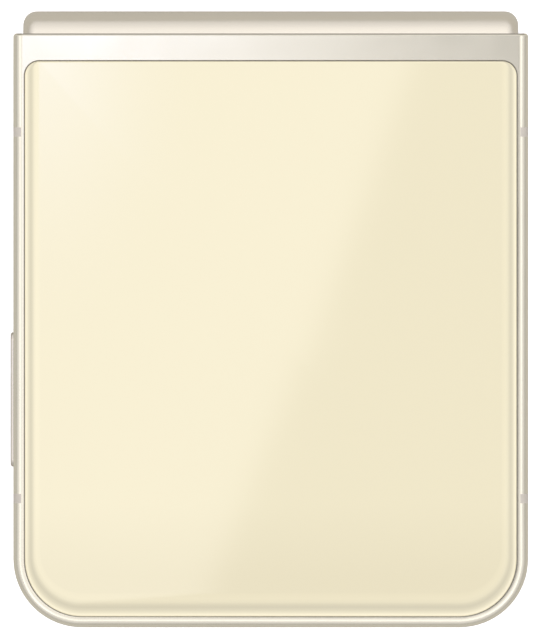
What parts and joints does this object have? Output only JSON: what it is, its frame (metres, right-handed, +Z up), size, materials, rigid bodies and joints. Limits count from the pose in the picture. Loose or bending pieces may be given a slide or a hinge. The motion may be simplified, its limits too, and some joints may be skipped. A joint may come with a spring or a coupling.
{
  "type": "folding phone",
  "caption": "Folding clamshell phone, closed: two slim glass-backed metal halves on a geared spine hinge, with side keys, card tray and cameras.",
  "frame": {"origin": "below the middle of the closed phone, on the surface it lies on, at the tops of the camera rings", "axes": "+X across the phone, +Y towards the spine, +Z up through the closed phone, from the cover side to the lower half's back glass"},
  "size_m": [0.0727, 0.0865, 0.0173],
  "materials": {
    "frame_metal": "satin anodised champagne",
    "band_plastic": "fine matt, a shade off the metal",
    "cream_glass": "gloss over a cream backing",
    "black_glass": "gloss over a black backing",
    "display": "gloss, dark while off",
    "bezel_plastic": "matt black",
    "rubber_pad": "matt",
    "thin_steel": "fine brushed",
    "spine_metal": "polished anodised champagne",
    "hinge_steel": "machined",
    "gear_steel": "machined, lightly greased",
    "spring_steel": "blued",
    "bronze": "satin",
    "brush_fibre": "short dark fibres",
    "screw_steel": "dark",
    "key_metal": "satin anodised champagne",
    "sensor_metal": "finely brushed",
    "tray_metal": "satin anodised champagne",
    "ring_metal": "polished",
    "lens_glass": "coated gloss",
    "camera_black": "matt",
    "flash_lens": "clear over yellow phosphor",
    "battery_wrap": "foil pouch in a dark wrap",
    "board_green": "solder resist",
    "can_steel": "tinned",
    "chip_black": "moulded",
    "coil_copper": "enamelled copper",
    "magnet_nickel": "nickel plated",
    "flex_film": "polyimide film",
    "speaker_plastic": "moulded",
    "port_steel": "drawn",
    "motor_steel": "drawn"
  },
  "bodies": {
    "upper_half": {"board_chips": "chip_black", "camera_lenses": "lens_glass", "camera_modules": "camera_black", "camera_rings": "ring_metal", "card_reader": "can_steel", "cover_display": "display", "cover_glass": "cream_glass", "cover_window": "black_glass", "display_upper": "display", "earpiece_speaker": "speaker_plastic", "flash": "flash_lens", "front_camera": "camera_black", "key_switches": "flex_film", "main_board": "board_green", "shield_cans": "can_steel", "upper_antenna_bands": "band_plastic", "upper_battery": "battery_wrap", "upper_bezel": "bezel_plastic", "upper_bumpers": "rubber_pad", "upper_fold_brackets": "hinge_steel", "upper_frame": "frame_metal", "upper_magnets": "magnet_nickel", "upper_screws": "screw_steel", "upper_support_plate": "thin_steel", "vibration_motor": "motor_steel"},
    "spine": {"spine_cover": "spine_metal", "hinge_frames": "hinge_steel", "spine_screws": "screw_steel", "disc_springs": "spring_steel", "friction_washers": "bronze", "wiper_strips": "brush_fibre", "display_fold": "display"},
    "lower_half": {"lower_frame": "frame_metal", "lower_antenna_bands": "band_plastic", "back_glass": "cream_glass", "display_lower": "display", "lower_support_plate": "thin_steel", "lower_bezel": "bezel_plastic", "lower_bumpers": "rubber_pad", "lower_fold_brackets": "hinge_steel", "lower_screws": "screw_steel", "main_battery": "battery_wrap", "loudspeaker": "speaker_plastic", "flex_cable": "flex_film", "sub_board": "board_green", "charging_chip": "chip_black", "microphone": "can_steel", "charging_coil": "coil_copper", "port_shell": "port_steel", "port_tongue": "speaker_plastic", "lower_magnets": "magnet_nickel"},
    "upper_outer_gear": {"upper_outer_gears": "gear_steel"},
    "upper_inner_gear": {"upper_inner_gears": "gear_steel"},
    "lower_inner_gear": {"lower_inner_gears": "gear_steel"},
    "lower_outer_gear": {"lower_outer_gears": "gear_steel"},
    "volume_key": {"volume_key": "key_metal"},
    "side_key": {"side_key": "sensor_metal"},
    "card_tray": {"card_tray": "tray_metal"}
  },
  "joints": [
    {"name": "upper_fold", "type": "hinge", "parent": "upper_half", "child": "spine", "pos_m": [0, 0.03833, 0.00704], "axis": [-1, 0, 0], "range_deg": [0, 90.41], "deforming": ["display_fold"]},
    {"name": "lower_fold", "type": "hinge", "parent": "spine", "child": "lower_half", "pos_m": [0, 0.03831, 0.01066], "axis": [-1, 0, 0], "range_deg": [0, 90.41], "deforming": ["display_fold"]},
    {"name": "upper_outer_gear_turn", "type": "hinge", "parent": "spine", "child": "upper_outer_gear", "pos_m": [0, 0.04058, 0.00577], "axis": [-1, 0, 0], "range_deg": [-316.44, 0]},
    {"name": "upper_inner_gear_turn", "type": "hinge", "parent": "spine", "child": "upper_inner_gear", "pos_m": [0, 0.04056, 0.00783], "axis": [-1, 0, 0], "range_deg": [0, 316.44]},
    {"name": "lower_inner_gear_turn", "type": "hinge", "parent": "spine", "child": "lower_inner_gear", "pos_m": [0, 0.04055, 0.0099], "axis": [-1, 0, 0], "range_deg": [-316.44, 0]},
    {"name": "lower_outer_gear_turn", "type": "hinge", "parent": "spine", "child": "lower_outer_gear", "pos_m": [0, 0.04053, 0.01196], "axis": [-1, 0, 0], "range_deg": [0, 316.44]},
    {"name": "volume_key_press", "type": "slide", "parent": "upper_half", "child": "volume_key", "axis": [1, 0, 0], "range_m": [0, 0.0003], "stiffness_N_per_m": 4000, "springref_m": -0.0001},
    {"name": "side_key_press", "type": "slide", "parent": "upper_half", "child": "side_key", "axis": [1, 0, 0], "range_m": [0, 0.0003], "stiffness_N_per_m": 4000, "springref_m": -0.0001},
    {"name": "card_tray_slide", "type": "slide", "parent": "upper_half", "child": "card_tray", "axis": [1, 0, 0], "range_m": [0, 0.017]}
  ],
  "couplings": [
    {"joint": "lower_fold", "follows": "upper_fold", "ratio": 1},
    {"joint": "upper_outer_gear_turn", "follows": "upper_fold", "ratio": -3.5},
    {"joint": "upper_inner_gear_turn", "follows": "upper_fold", "ratio": 3.5},
    {"joint": "lower_inner_gear_turn", "follows": "upper_fold", "ratio": -3.5},
    {"joint": "lower_outer_gear_turn", "follows": "upper_fold", "ratio": 3.5}
  ]
}
